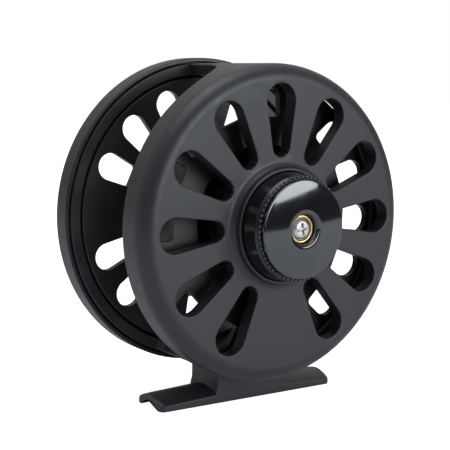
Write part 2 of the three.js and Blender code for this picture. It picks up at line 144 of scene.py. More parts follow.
def object_coords(nodes):
    return nodes.new("ShaderNodeTexCoord").outputs["Object"]


def moulded_plastic(name, colour, roughness, grain):
    """Dark moulded plastic: fine spark-eroded grain, faint flow mottling and patchy sheen."""
    made, nodes, links, shader = material(name, colour, roughness)
    coords = object_coords(nodes)
    mottle = noise(nodes, links, coords, 90, 4)
    darker = tuple(c * 0.92 for c in colour)
    lighter = tuple(c * 1.08 for c in colour)
    links.new(blend_colours(nodes, links, mottle, darker, lighter), shader.inputs["Base Color"])
    patches = noise(nodes, links, coords, 400, 5, 0.6)
    sheen = remap(nodes, links, patches, roughness - 0.05, roughness + 0.05)
    links.new(sheen, shader.inputs["Roughness"])
    fine = noise(nodes, links, coords, 5200, 2)
    coarse = noise(nodes, links, coords, 700, 2)
    waves = bump(nodes, links, coarse, 0.00002, 0.12)
    links.new(bump(nodes, links, fine, 0.00002, grain, waves), shader.inputs["Normal"])
    return made


def polished_plastic(name, colour, roughness, index=1.4):
    """Polished black plastic with faint mottling, a gentle ripple and a little dust in the sheen."""
    made, nodes, links, shader = material(name, colour, roughness)
    shader.inputs["IOR"].default_value = index
    shader.inputs["Coat Weight"].default_value = 0.25
    shader.inputs["Coat Roughness"].default_value = 0.04
    coords = object_coords(nodes)
    mottle = noise(nodes, links, coords, 200, 3)
    darker = tuple(c * 0.85 for c in colour)
    lighter = tuple(c * 1.15 for c in colour)
    links.new(blend_colours(nodes, links, mottle, darker, lighter), shader.inputs["Base Color"])
    smears = noise(nodes, links, coords, 500, 6, 0.7)
    links.new(remap(nodes, links, smears, roughness * 0.8, roughness * 1.5), shader.inputs["Roughness"])
    ripple = noise(nodes, links, coords, 260, 1)
    links.new(bump(nodes, links, ripple, 0.00003, 0.06), shader.inputs["Normal"])
    return made


def turned_metal(name, colour, roughness):
    """Lathe-turned metal: fine rings about the axle, and small tarnish patches."""
    made, nodes, links, shader = material(name, colour, roughness, 1.0)
    coords = object_coords(nodes)
    split = nodes.new("ShaderNodeSeparateXYZ")
    links.new(coords, split.inputs[0])

    def math_node(kind, a, b=None):
        node = nodes.new("ShaderNodeMath")
        node.operation = kind
        for i, value in enumerate((a, b)):
            if isinstance(value, (int, float)):
                node.inputs[i].default_value = value
            elif value is not None:
                links.new(value, node.inputs[i])
        return node.outputs[0]

    x = math_node("SUBTRACT", split.outputs["X"], AXLE_X)
    z = math_node("SUBTRACT", split.outputs["Z"], AXLE_Z)
    squares = math_node("ADD", math_node("MULTIPLY", x, x), math_node("MULTIPLY", z, z))
    radius = math_node("SQRT", squares)
    along = math_node("ADD", radius, math_node("MULTIPLY", split.outputs["Y"], 0.7))
    join = nodes.new("ShaderNodeCombineXYZ")
    links.new(along, join.inputs[0])
    rings = noise(nodes, links, join.outputs[0], 9000, 2)
    tarnish = noise(nodes, links, coords, 500, 5, 0.6)
    darker = tuple(c * 0.78 for c in colour)
    links.new(blend_colours(nodes, links, tarnish, darker, colour), shader.inputs["Base Color"])
    links.new(remap(nodes, links, tarnish, roughness + 0.12, roughness), shader.inputs["Roughness"])
    links.new(bump(nodes, links, rings, 0.00001, 0.25), shader.inputs["Normal"])
    return made


def pressed_cork(name):
    """Ground cork, pressed: pale grains with darker seams between them."""
    made, nodes, links, shader = material(name, (0.42, 0.26, 0.13), 0.85)
    coords = object_coords(nodes)
    cells = nodes.new("ShaderNodeTexVoronoi")
    cells.inputs["Scale"].default_value = 900
    links.new(coords, cells.inputs["Vector"])
    tone = blend_colours(nodes, links, cells.outputs["Distance"], (0.22, 0.12, 0.05), (0.5, 0.33, 0.18))
    links.new(tone, shader.inputs["Base Color"])
    links.new(bump(nodes, links, cells.outputs["Distance"], 0.0002, 0.4), shader.inputs["Normal"])
    return made


BODY = moulded_plastic("body", (0.0105, 0.0112, 0.0138), 0.44, 0.35)
SPOOL = moulded_plastic("spool", (0.0090, 0.0094, 0.0104), 0.42, 0.30)
GLOSS = polished_plastic("gloss", (0.0045, 0.0055, 0.008), 0.06, 1.72)
KNOB = polished_plastic("knob", (0.004, 0.0045, 0.006), 0.26)
STEEL = turned_metal("steel", (0.62, 0.61, 0.59), 0.28)
BRASS = turned_metal("brass", (0.80, 0.60, 0.28), 0.24)
CORK = pressed_cork("cork")

# ---------------------------------------------------------------- mesh helpers

ROUND_STEPS = 4
SAME_PLACE = 1e-7  # metres
ON_AXLE = 1e-6  # millimetres
NEARLY_STRAIGHT = math.radians(87)


def polar(radius, angle):
    """Point of the x-z plane at an angle in degrees, anticlockwise seen from the knob's side."""
    a = math.radians(angle)
    return radius * math.cos(a), radius * math.sin(a)


def circle(centre, radius, angles):
    """Points of a circle in the x-z plane about any centre."""
    return [(centre[0] + x, centre[1] + z) for x, z in (polar(radius, a) for a in angles)]


def turned(outline, angle):
    """An outline of the x-z plane turned about the axle by an angle in degrees."""
    c, s = polar(1.0, angle)
    return [(x * c - z * s, x * s + z * c) for x, z in outline]


class Shell:
    """Vertices in the works frame, and faces, of one closed skin."""

    def __init__(self):
        self.points = []
        self.faces = []

    def point(self, x, y, z):
        self.points.append((x, y, z))
        return len(self.points) - 1

    def loop(self, outline, y):
        """A loop of points of the x-z plane at one place along the axle."""
        return [self.point(x, y, z) for x, z in outline]

    def ring(self, radius, y, angles):
        return self.loop([polar(radius, a) for a in angles], y)

    def rings(self, profile, angles):
        """A ring of points for each (radius, y) of a profile."""
        return [self.ring(r, y, angles) for r, y in profile]

    def bridge(self, first, second):
        """Quads between two loops of equal length."""
        count = len(first)
        for i in range(count):
            j = (i + 1) % count
            self.faces.append((first[i], second[i], second[j], first[j]))

    def chain(self, loops):
        for first, second in zip(loops, loops[1:]):
            self.bridge(first, second)
        return loops

    def cap(self, loop):
        """Closes a loop with a fan about its middle."""
        middle = np.mean([self.points[i] for i in loop], axis=0)
        centre = self.point(*middle)
        for i, a in enumerate(loop):
            self.faces.append((a, loop[(i + 1) % len(loop)], centre))

    def plate(self, outer, inner, holes):
        """A flat face between two loops, around the holes."""
        loops = [outer, inner, *holes]
        indices = [i for loop in loops for i in loop]
        flat = [Vector((self.points[i][0], self.points[i][2])) for i in indices]
        edges = []
        start = 0
        for loop in loops:
            count = len(loop)
            edges += [(start + k, start + (k + 1) % count) for k in range(count)]
            start += count
        out_points, _, triangles, origins, _, _ = delaunay_2d_cdt(flat, edges, [], 0, 1e-5)
        if any(not o for o in origins):
            crossings = [tuple(out_points[i]) for i, o in enumerate(origins) if not o]
            raise ValueError(f"outlines cross at {crossings[:4]}")
        source = [indices[o[0]] for o in origins]
        middles = np.array([np.mean([out_points[i] for i in t], axis=0) for t in triangles])
        keep = inside(middles, outer, self.points)
        for loop in [inner, *holes]:
            keep &= ~inside(middles, loop, self.points)
        for triangle, kept in zip(triangles, keep):
            if kept:
                self.faces.append(tuple(source[i] for i in triangle))

    def mesh(self, name):
        """The skin as a smooth mesh in the row frame, its faces turned outwards."""
        made = bpy.data.meshes.new(name)
        made.from_pydata([to_row(p) for p in self.points], [], self.faces)
        skin = bmesh.new()
        skin.from_mesh(made)
        bmesh.ops.remove_doubles(skin, verts=skin.verts, dist=SAME_PLACE)
        bmesh.ops.recalc_face_normals(skin, faces=skin.faces)
        for face in skin.faces:
            face.smooth = True
        skin.to_mesh(made)
        skin.free()
        return made

    def piece(self, name, finish, body, replaced=(), slot="body"):
        return settle(name, self.mesh(name), finish, body, replaced)


def inside(middles, loop, points):
    """Which of the middles lie inside a loop of the x-z plane."""
    shape = np.array([(points[i][0], points[i][2]) for i in loop])
    following = np.roll(shape, -1, axis=0)
    crossings = np.zeros(len(middles), int)
    for (x0, z0), (x1, z1) in zip(shape, following):
        if z0 == z1:
            continue
        spans = (z0 > middles[:, 1]) != (z1 > middles[:, 1])
        crossing = x0 + (middles[:, 1] - z0) * (x1 - x0) / (z1 - z0)
        crossings += spans & (middles[:, 0] < crossing)
    return crossings % 2 == 1


def settle(name, mesh, finish, body, replaced, keep_sharp=40):
    """Makes the object, gives it its finish and clean shading, and puts it on its body."""
    made = bpy.data.objects.new(name, mesh)
    bpy.context.scene.collection.objects.link(made)
    mesh.materials.clear()
    mesh.materials.append(finish)
    mesh.set_sharp_from_angle(angle=math.radians(keep_sharp))
    weighted = made.modifiers.new("normals", "WEIGHTED_NORMAL")
    weighted.keep_sharp = True
    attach(made, body)
    if replaced:
        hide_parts(*replaced)
    return made


def boolean_mesh(name, shells, operation):
    """One mesh made of closed skins: the first one joined with the others, or cut by them."""
    things = []
    for i, shell in enumerate(shells):
        thing = bpy.data.objects.new(f"{name}_{i}", shell.mesh(f"{name}_{i}"))
        bpy.context.scene.collection.objects.link(thing)
        things.append(thing)
    for other in things[1:]:
        step = things[0].modifiers.new("boolean", "BOOLEAN")
        step.operation = operation
        step.solver = "EXACT"
        step.object = other
    bpy.context.view_layer.update()
    evaluated = things[0].evaluated_get(bpy.context.evaluated_depsgraph_get())
    result = bpy.data.meshes.new_from_object(evaluated)
    result.name = name
    for thing in things:
        bpy.data.objects.remove(thing)
    for face in result.polygons:
        face.use_smooth = True
    return result


def arc(cx, cy, radius, start, end, steps):
    """Points of an arc, from one angle in degrees to another."""
    return [
        (cx + radius * math.cos(math.radians(a)), cy + radius * math.sin(math.radians(a)))
        for a in np.linspace(start, end, steps + 1)
    ]


def rounded(profile, radius, closed=True, steps=ROUND_STEPS):
    """A profile of (r, y) points with its corners rounded; corners on the axle stay."""
    count = len(profile)
    made = []
    for i, corner in enumerate(profile):
        here = np.array(corner[:2], float)
        wanted = corner[2] if len(corner) > 2 else radius
        before = np.array(profile[i - 1][:2], float)
        after = np.array(profile[(i + 1) % count][:2], float)
        end_point = not closed and i in (0, count - 1)
        if wanted <= 0 or end_point or here[0] < ON_AXLE:
            made.append(tuple(here))
            continue
        a, b = before - here, after - here
        la, lb = np.linalg.norm(a), np.linalg.norm(b)
        a, b = a / la, b / lb
        half = math.acos(max(-1.0, min(1.0, float(a @ b)))) / 2
        if half > NEARLY_STRAIGHT:
            made.append(tuple(here))
            continue
        reach = min(wanted / math.tan(half), la * 0.49, lb * 0.49)
        r = reach * math.tan(half)
        centre = here + (a + b) / np.linalg.norm(a + b) * (r / math.sin(half))
        start, stop = here + a * reach - centre, here + b * reach - centre
        sweep = math.pi - 2 * half
        side = math.copysign(1, start[0] * stop[1] - start[1] * stop[0])
        for k in range(steps + 1):
            t = side * sweep * k / steps
            c, s = math.cos(t), math.sin(t)
            spun = np.array((start[0] * c - start[1] * s, start[0] * s + start[1] * c))
            made.append(tuple(centre + spun))
    return made


def revolve(shell, profile, count=96, centre=(0.0, 0.0), closed=True):
    """Turns a profile about the axle, or about a line beside it."""
    angles = np.arange(count) * 360 / count
    rings = []
    for r, y in profile:
        if r < ON_AXLE:
            rings.append([shell.point(centre[0], y, centre[1])])
        else:
            rings.append(shell.loop(circle(centre, r, angles), y))
    pairs = list(zip(rings, rings[1:]))
    if closed:
        pairs.append((rings[-1], rings[0]))
    for first, second in pairs:
        if len(first) == 1 and len(second) == 1:
            continue
        if len(first) == 1 or len(second) == 1:
            ring, tip = (second, first[0]) if len(first) == 1 else (first, second[0])
            for i, a in enumerate(ring):
                shell.faces.append((a, ring[(i + 1) % count], tip))
        else:
            shell.bridge(first, second)
    return rings


def turned_piece(name, profile, radius, finish, body, replaced, slot, count=96, centre=(0.0, 0.0)):
    """A turned piece with rounded edges."""
    shell = Shell()
    closed = not (profile[0][0] == 0 and profile[-1][0] == 0)
    revolve(shell, rounded(profile, radius, closed), count, centre, closed)
    return shell.piece(name, finish, body, replaced, slot)


FLUTE_COUNT = 5
FLUTE_DEPTH = 0.18
TEARDROP_STEPS = (26, 30)
BLUNT_STEPS = (20, 6)


def teardrop(outer, outer_round, inner, inner_round, angle, flutes):
    """A slot's outline: wide round end, straight sides and a narrow round end with flutes."""
    lean = math.degrees(math.asin((outer_round - inner_round) / (outer - inner)))
    wide = arc(outer, 0, outer_round, -90 - lean, 90 + lean, TEARDROP_STEPS[0])
    narrow = []
    span = 180 - 2 * lean
    for a in np.linspace(90 + lean, 270 - lean, TEARDROP_STEPS[1] + 1):
        along = (a - 90 - lean) / span
        dip = flutes * 0.5 * (1 - math.cos(2 * math.pi * FLUTE_COUNT * along))
        x, z = polar(inner_round - dip, a)
        narrow.append((inner + x, z))
    return turned(wide + narrow, angle)


def near_slot(spread, angle, flutes=0.0):
    """The outline of a slot in the frame's plate, grown by spread."""
    outer, outer_round, inner, inner_round = NEAR_SLOT
    return teardrop(outer, outer_round + spread, inner, inner_round + spread, angle, flutes)


def blunt_slot(shape, spread, angle):
    """A slot's outline: wide round end, straight sides and a blunt end with two round corners."""
    outer, outer_round, inner, half, corner = shape
    outer_round += spread
    inner -= spread
    half += spread
    corner += spread
    run = (outer - inner - corner, corner - half)
    lean = math.acos((corner - outer_round) / math.hypot(*run))
    side = math.degrees(math.atan2(run[1], run[0]) + lean)
    wide, tight = BLUNT_STEPS
    outline = arc(outer, 0, outer_round, -side, side, wide)
    outline += arc(inner + corner, half - corner, corner, side, 180, tight)
    outline += arc(inner + corner, corner - half, corner, 180, 360 - side, tight)
    return turned(outline, angle)


def slot_wall(shell, outline_at, y0, y1, edge, wall=None):
    """The wall of one slot, its edges rounded; gives its loops on the two faces."""
    loops = []
    for k in range(ROUND_STEPS):
        t = math.radians(90 * k / ROUND_STEPS)
        loops.append((outline_at(edge * (1 - math.sin(t))), edge * (1 - math.cos(t))))
    wall = wall or outline_at(0)
    places = [(o, y0 + d) for o, d in loops] + [(wall, y0 + edge), (wall, y1 - edge)]
    places += [(o, y1 - d) for o, d in reversed(loops)]
    made = shell.chain([shell.loop(outline, y) for outline, y in places])
    return made[0], made[-1]


# ---------------------------------------------------------------- frame

OUT_R = 41.05
CORNER = 4.1
PLATE = 4.1
IN_R = 37.9
WINDOW_BACK = 9.3
WINDOW_FRONT = 37.5
RING_FRONT = 40.3
RING_EDGE = 0.4  # rounding of the ring's two front edges
PLATE_FILLET = 0.8  # inside, between the plate and the wall
EDGE = 0.28
WINDOW_EDGE = 0.5
COLLAR_HEIGHT = 2.55
COLLAR_IN = 14.05
COLLAR_LIPS = [(14.3, 0.25), (14.62, 0.22)]  # place and rounding of the collar's inner and outer edge
COLLAR_FLARE = 1.9
COLLAR_FOOT = 16.75
AXLE_BORE = 3.4
WELL_R, WELL_FLOOR = 7.0, 2.0
BOSS_R, BOSS_END = 13.4, 6.6
CHAMFER = 0.3
BRIDGES = [
    # middle angle, half width, round corner beside the plate, round corner beside the ring
    (90.0, 4.6, 20.0, 0.8),
    (270.0, 12.6, 9.0, 3.0),
]
# Slots: centre and radius of the wide end, then of the narrow end.
NEAR_SLOT = (31.65, 4.45, 20.06, 2.65)
NEAR_SLOT_TURN = 1.33
NEAR_SLOT_PLACES = 12
SOLID_PLACE = 9  # over the foot
# The columns of points round the wall.
SWEEP_COLUMNS, NOOK_COLUMNS = 13, 7
COLUMN_STEP = 2.5
COLUMN_GAP = 0.9
FAR_FROM_BRIDGE = 80


def side_angle(x):
    """How far round the wall, in degrees, a point lies that is x to the side of the middle."""
    return math.degrees(math.asin(x / OUT_R))


def window_columns():
    """Every angle where the frame's skin has a column of points."""
    special = set()
    for middle, half, sweep, nook in BRIDGES:
        for side in (-1, 1):
            for radius, columns in ((sweep, SWEEP_COLUMNS), (nook, NOOK_COLUMNS)):
                for a in np.linspace(0, 90, columns):
                    x = half + radius * (1 - math.cos(math.radians(a)))
                    special.add(round(middle + side * side_angle(x), 6))
    angles = sorted(a % 360 for a in special)
    for a in np.arange(0, 360, COLUMN_STEP):
        if min(abs((a - b + 180) % 360 - 180) for b in angles) > COLUMN_GAP:
            angles.append(float(a))
    return sorted(angles)


def window_limits(angle):
    """(lowest y, highest y, in a window) of the opening at an angle, at its rounded outline."""
    for middle, half, sweep, nook in BRIDGES:
        away = abs((angle - middle + 180) % 360 - 180)
        if away > FAR_FROM_BRIDGE:
            continue
        x = OUT_R * math.sin(math.radians(away))
        edge = x - half
        low, high = WINDOW_BACK, WINDOW_FRONT
        if edge < sweep:
            low = WINDOW_BACK + sweep - math.sqrt(max(0.0, sweep**2 - (sweep - max(edge, 0)) ** 2))
        if edge < nook:
            high = WINDOW_FRONT - nook + math.sqrt(max(0.0, nook**2 - (nook - max(edge, 0)) ** 2))
        if edge < sweep or edge < nook:
            return low, high, edge > -1e-4
    return WINDOW_BACK, WINDOW_FRONT, True


LOW_ROWS, MID_ROWS, HIGH_ROWS = 8, 4, 3


def wall_rows(low, high, start, end):
    """Places along the axle of one column's points: below, across and above a window."""
    rows = list(np.linspace(start, low, LOW_ROWS + 1))
    rows += list(np.linspace(low, high, MID_ROWS + 1))[1:]
    rows += list(np.linspace(high, end, HIGH_ROWS + 1))[1:]
    return rows


def wall_skin(shell, angles, limits, radius, first, last, start, end):
    """One skin of the wall, between two existing rings, around the windows."""
    count = len(angles)
    grid = []
    for j, angle in enumerate(angles):
        low, high, _ = limits[j]
        rows = wall_rows(low, high, start, end)
        x, z = polar(radius, angle)
        column = [first[j]] + [shell.point(x, y, z) for y in rows[1:-1]] + [last[j]]
        grid.append(column)
    a, b = LOW_ROWS, LOW_ROWS + MID_ROWS
    for j in range(count):
        k = (j + 1) % count
        both = limits[j][2] and limits[k][2]
        for i in range(len(grid[j]) - 1):
            if both and a <= i < b:
                continue
            shell.faces.append((grid[j][i], grid[j][i + 1], grid[k][i + 1], grid[k][i]))
    return grid


def window_loops(grid, limits):
    """The vertex loop round each window."""
    count = len(grid)
    a, b = LOW_ROWS, LOW_ROWS + MID_ROWS
    starts = [j for j in range(count) if limits[j][2] and not limits[j - 1][2]]
    loops = []
    for start in starts:
        run = [start]
        while limits[(run[-1] + 1) % count][2]:
            run.append((run[-1] + 1) % count)
        lower = [grid[j][a] for j in run]
        far_side = [grid[run[-1]][i] for i in range(a + 1, b)]
        upper = [grid[j][b] for j in reversed(run)]
        near_side = [grid[run[0]][i] for i in range(b - 1, a, -1)]
        loops.append(lower + far_side + upper + near_side)
    return loops


def window_wall(shell, outer_loop, inner_loop):
    """The thickness of the wall round a window, its two edges rounded."""
    flat = []
    for index in outer_loop:
        x, y, z = shell.points[index]
        flat.append((math.radians(math.degrees(math.atan2(z, x)) % 360) * OUT_R, y))
    flat = np.array(flat)
    ahead, behind = np.roll(flat, -1, axis=0), np.roll(flat, 1, axis=0)
    reach = 2 * math.pi * OUT_R
    tangent = ahead - behind
    tangent[:, 0] = (tangent[:, 0] + reach / 2) % reach - reach / 2
    tangent /= np.linalg.norm(tangent, axis=1)[:, None]
    inward = np.stack([-tangent[:, 1], tangent[:, 0]], axis=1)

    def loop(inset, radius):
        moved = flat + inward * inset
        ring = []
        for s, y in moved:
            x, z = polar(radius, math.degrees(s / OUT_R))
            ring.append(shell.point(x, y, z))
        return ring

    loops = [outer_loop]
    for k in range(1, ROUND_STEPS + 1):
        t = math.radians(90 * k / ROUND_STEPS)
        loops.append(loop(WINDOW_EDGE * math.sin(t), OUT_R - WINDOW_EDGE * (1 - math.cos(t))))
    for k in range(ROUND_STEPS, 0, -1):
        t = math.radians(90 * k / ROUND_STEPS)
        loops.append(loop(WINDOW_EDGE * math.sin(t), IN_R + WINDOW_EDGE * (1 - math.cos(t))))
    loops.append(inner_loop)
    shell.chain(loops)


def build_frame():
    """The back plate with its slots, collar, well and boss, and the wall with its two windows."""
    shell = Shell()
    angles = window_columns()
    limits = [window_limits(a) for a in angles]
    rings = partial(shell.rings, angles=angles)
    # From the bore in the well, over the collar, to where the flat face starts.
    (inner_lip, inner_round), (outer_lip, outer_round) = COLLAR_LIPS
    inner_side = [
        (AXLE_BORE, BOSS_END - CHAMFER),
        (AXLE_BORE, WELL_FLOOR),
        (WELL_R, WELL_FLOOR),
        (WELL_R, 0.25),
        (WELL_R + 0.25, 0.0),
        (COLLAR_IN - 0.15, 0.0),
        (COLLAR_IN, -0.15),
        (COLLAR_IN, CHAMFER - COLLAR_HEIGHT),
        *arc(inner_lip, inner_round - COLLAR_HEIGHT, inner_round, 180, 270, 4),
        *arc(outer_lip, outer_round - COLLAR_HEIGHT, outer_round, 270, 360, 4),
        *arc(COLLAR_FOOT, -COLLAR_FLARE, COLLAR_FLARE, 180, 90, 8),
    ]
    near = rings(inner_side)
    corner = rings(arc(OUT_R - CORNER, CORNER, CORNER, -90, 0, 16))
    shell.chain(near)
    shell.chain(corner)
    wall_end = RING_FRONT - RING_EDGE
    edge_front = rings(arc(OUT_R - RING_EDGE, wall_end, RING_EDGE, 0, 90, 4))
    edge_back = rings(arc(IN_R + RING_EDGE, wall_end, RING_EDGE, 90, 180, 4))
    shell.chain(edge_front + edge_back)
    wall_start = PLATE + PLATE_FILLET
    fillet = rings(arc(IN_R - PLATE_FILLET, wall_start, PLATE_FILLET, 0, -90, 5))
    shell.chain(fillet)
    outer_grid = wall_skin(shell, angles, limits, OUT_R, corner[-1], edge_front[0], CORNER, wall_end)
    inner_grid = wall_skin(shell, angles, limits, IN_R, fillet[0], edge_back[-1], wall_start, wall_end)
    for outer_loop, inner_loop in zip(window_loops(outer_grid, limits), window_loops(inner_grid, limits)):
        window_wall(shell, outer_loop, inner_loop)
    boss = rings(
        [
            (BOSS_R + 0.5, PLATE),
            (BOSS_R + 0.1, PLATE + 0.4),
            (BOSS_R, BOSS_END - CHAMFER),
            (BOSS_R - CHAMFER, BOSS_END),
            (AXLE_BORE + CHAMFER, BOSS_END),
        ]
    )
    shell.chain([*boss, near[0]])
    holes = []
    for k in range(NEAR_SLOT_PLACES):
        if k != SOLID_PLACE:
            angle = 360 / NEAR_SLOT_PLACES * k + NEAR_SLOT_TURN
            outline_at = partial(near_slot, angle=angle)
            holes.append(slot_wall(shell, outline_at, 0, PLATE, EDGE, near_slot(0, angle, FLUTE_DEPTH)))
    shell.plate(corner[0], near[-1], [h[0] for h in holes])
    shell.plate(fillet[-1], boss[0], [h[1] for h in holes])
    return shell


# The foot: cross-sections along the rod, each a closed loop of (y, z) about the foot's middle.

FOOT_Y = 18.5
FOOT_HALF = 6.35
FOOT_END = 27.75
SEAT_Z = -46.3
FOOT_UNDER = -1.95  # long bottom edges below the crown seat
FOOT_LIP = 0.7
FOOT_EDGE = (1.65, 2.4)  # height of the long side, at the toe and by the stem
FOOT_CROWN = (1.45, 2.05)  # top of the arch above the crown seat, likewise
SEAT_PART = 0.25  # part of the hollow's half width that is flat
TOE_ROUND = 1.4
STEM_HALF = 10.7
STEM_TOP = -39.2
# The stem's sections from the foot up: height and how much wider it is than its middle.
STEM_FLARE = [(-46.1, 0.5), (-45.4, 0.45), (-44.85, 0.35), (-44.35, 0.2), (-43.9, 0.08), (-43.3, 0.0)]


def foot_section(edge, crown, squeeze):
    """One section of the foot: squeeze narrows it, and edge and crown are its two heights."""
    half = FOOT_HALF * squeeze
    flat = half - FOOT_LIP
    top = FOOT_UNDER + edge
    r = EDGE
    points = [(flat, FOOT_UNDER)]
    points += arc(half - r, FOOT_UNDER + r, r, -90, 0, 3)
    points += arc(half - r, top - r, r, 0, 90, 3)
    for k in np.linspace(0.9, -0.9, 13):
        points.append((k * half, top + (crown - top) * (1 - k * k)))
    points += arc(r - half, top - r, r, 90, 180, 3)
    points += arc(r - half, FOOT_UNDER + r, r, 180, 270, 3)
    points.append((-flat, FOOT_UNDER))
    for k in np.linspace(-0.92, 0.92, 11):
        points.append((k * flat, FOOT_UNDER * k * k if abs(k) > SEAT_PART else 0.0))
    return points


def build_foot():
    """The saddle foot: round-cornered toes that rise to the stem."""
    shell = Shell()
    ramp = 1.5
    stations = []
    for step in (0, 0.12, 0.4, 0.85, TOE_ROUND):
        inset = TOE_ROUND - step
        squeeze = 1 - (TOE_ROUND - math.sqrt(max(0.0, TOE_ROUND**2 - inset**2))) / FOOT_HALF
        stations.append((step - FOOT_END, 0.0, squeeze))
    for x in np.linspace(-FOOT_END + 3, -STEM_HALF - ramp, 8):
        stations.append((x, (x + FOOT_END) / (FOOT_END - STEM_HALF), 1.0))
    for x in np.linspace(-STEM_HALF, 0, 4):
        stations.append((x, 1.0, 1.0))
    stations += [(-x, rise, squeeze) for x, rise, squeeze in reversed(stations[:-1])]
    loops = []
    for x, rise, squeeze in stations:
        edge, crown = (toe + (by_stem - toe) * rise for toe, by_stem in (FOOT_EDGE, FOOT_CROWN))
        section = foot_section(edge, crown, squeeze)
        loops.append([shell.point(x, FOOT_Y + y, SEAT_Z + z) for y, z in section])
    shell.chain(loops)
    for end in (loops[0], loops[-1]):
        shell.cap(end)
    return shell


def build_stem():
    """The block between the foot and the frame, flared where it meets the foot."""
    shell = Shell()
    loops = []
    half_y, r = FOOT_HALF - 0.01, 0.35
    for z, flare in [*STEM_FLARE, (STEM_TOP, 0.0)]:
        half_x = STEM_HALF + flare
        outline = []
        for cx, cy, start in [(1, 1, 0), (-1, 1, 90), (-1, -1, 180), (1, -1, 270)]:
            outline += arc(cx * (half_x - r), cy * (half_y - r), r, start, start + 90, 4)
        loops.append([shell.point(x, FOOT_Y + y, z) for x, y in outline])
    shell.chain(loops)
    shell.cap(loops[0])
    shell.cap(loops[-1])
    return shell


frame_mesh = boolean_mesh("reel_frame", [build_frame(), build_stem(), build_foot()], "UNION")
settle("reel_frame", frame_mesh, BODY, "frame", ["frame"])

# ---------------------------------------------------------------- spool

FLANGE_R = 37.4
# Flange slots: centre and radius of the wide end; place, half width and corner of the blunt end.
FAR_SLOT = (31.7, 3.65, 24.35, 2.95, 0.8)
FAR_SLOT_TURN = 155.5
REAR_SLOT = (31.9, 3.9, 27.4, 4.2, 1.2)
REAR_SLOT_TURN = 156.0
REAR_BACK, REAR_FRONT = 8.2, 10.2
REAR_RIM = 0.6  # rounding of the rear flange's rim
REAR_SLOT_EDGE, FAR_SLOT_EDGE = 0.2, 0.15
SPIGOT_IN, SPIGOT_OUT = 20.1, 21.7
SPIGOT_END = REAR_FRONT + 3
ARBOR_IN, ARBOR_R = 22, 24
ARBOR_BACK = REAR_FRONT + 0.3
FAR_BACK, FAR_FACE = 37.5, 39.5
FAR_RIM = 0.5
HUB_R, HUB_FLANGE_R = 10.5, 13.1
HUB_BACK, HUB_FLANGE_FRONT, HUB_END = 13.8, 16.4, 37
SPINDLE_BORE, BUSH_SEAT, CLUTCH_SEAT = 3.6, 6.3, 8.3
WEB_BACK, WEB_FRONT = 22, 29.4
COVER_IN, COVER_OUT = 35.9, 41.45
COVER_BACK, COVER_FRONT = 40.7, 42.7
PALM_R, PALM_BACK = 42.5, 37.0
SOFT = 0.2  # small chamfers and roundings
SPOOL_SLOT_COUNT = 16
COLUMNS = np.arange(192) * 360 / 192
HANDLE_ANGLE = 174.3
HANDLE_RADIUS = 28.1
HANDLE_AT = polar(HANDLE_RADIUS, HANDLE_ANGLE)
BOSS_AROUND = np.arange(48) * 360 / 48
MARK_AROUND = np.arange(24) * 360 / 24


def spool_slot_angles(turn_by, keep_handle_place):
    """Where the slots of a flange lie; the far flange has none behind the handle."""
    first = 0 if keep_handle_place else -1
    step = 360 / SPOOL_SLOT_COUNT
    return [turn_by - step * k for k in range(first, SPOOL_SLOT_COUNT - 1)]


def build_rear_flange():
    """The rear flange and the spigot that fits inside the arbor."""
    shell = Shell()
    rings = partial(shell.rings, angles=COLUMNS)
    r = REAR_RIM
    rim = rings(
        [
            *arc(FLANGE_R - r, REAR_BACK + r, r, -90, 0, 5),
            *arc(FLANGE_R - r, REAR_FRONT - r, r, 0, 90, 5),
        ]
    )
    shell.chain(rim)
    bore = rings(
        [
            (SPIGOT_OUT, REAR_FRONT),
            (SPIGOT_OUT, SPIGOT_END - SOFT),
            (SPIGOT_OUT - SOFT, SPIGOT_END),
            (SPIGOT_IN + SOFT, SPIGOT_END),
            (SPIGOT_IN, SPIGOT_END - SOFT),
            (SPIGOT_IN, REAR_BACK + SOFT),
            (SPIGOT_IN + SOFT, REAR_BACK),
        ]
    )
    shell.chain(bore)
    holes = []
    for a in spool_slot_angles(REAR_SLOT_TURN, False):
        outline_at = partial(blunt_slot, REAR_SLOT, angle=a)
        holes.append(slot_wall(shell, outline_at, REAR_BACK, REAR_FRONT, REAR_SLOT_EDGE))
    shell.plate(rim[0], bore[-1], [h[0] for h in holes])
    shell.plate(rim[-1], bore[0], [h[1] for h in holes])
    return shell


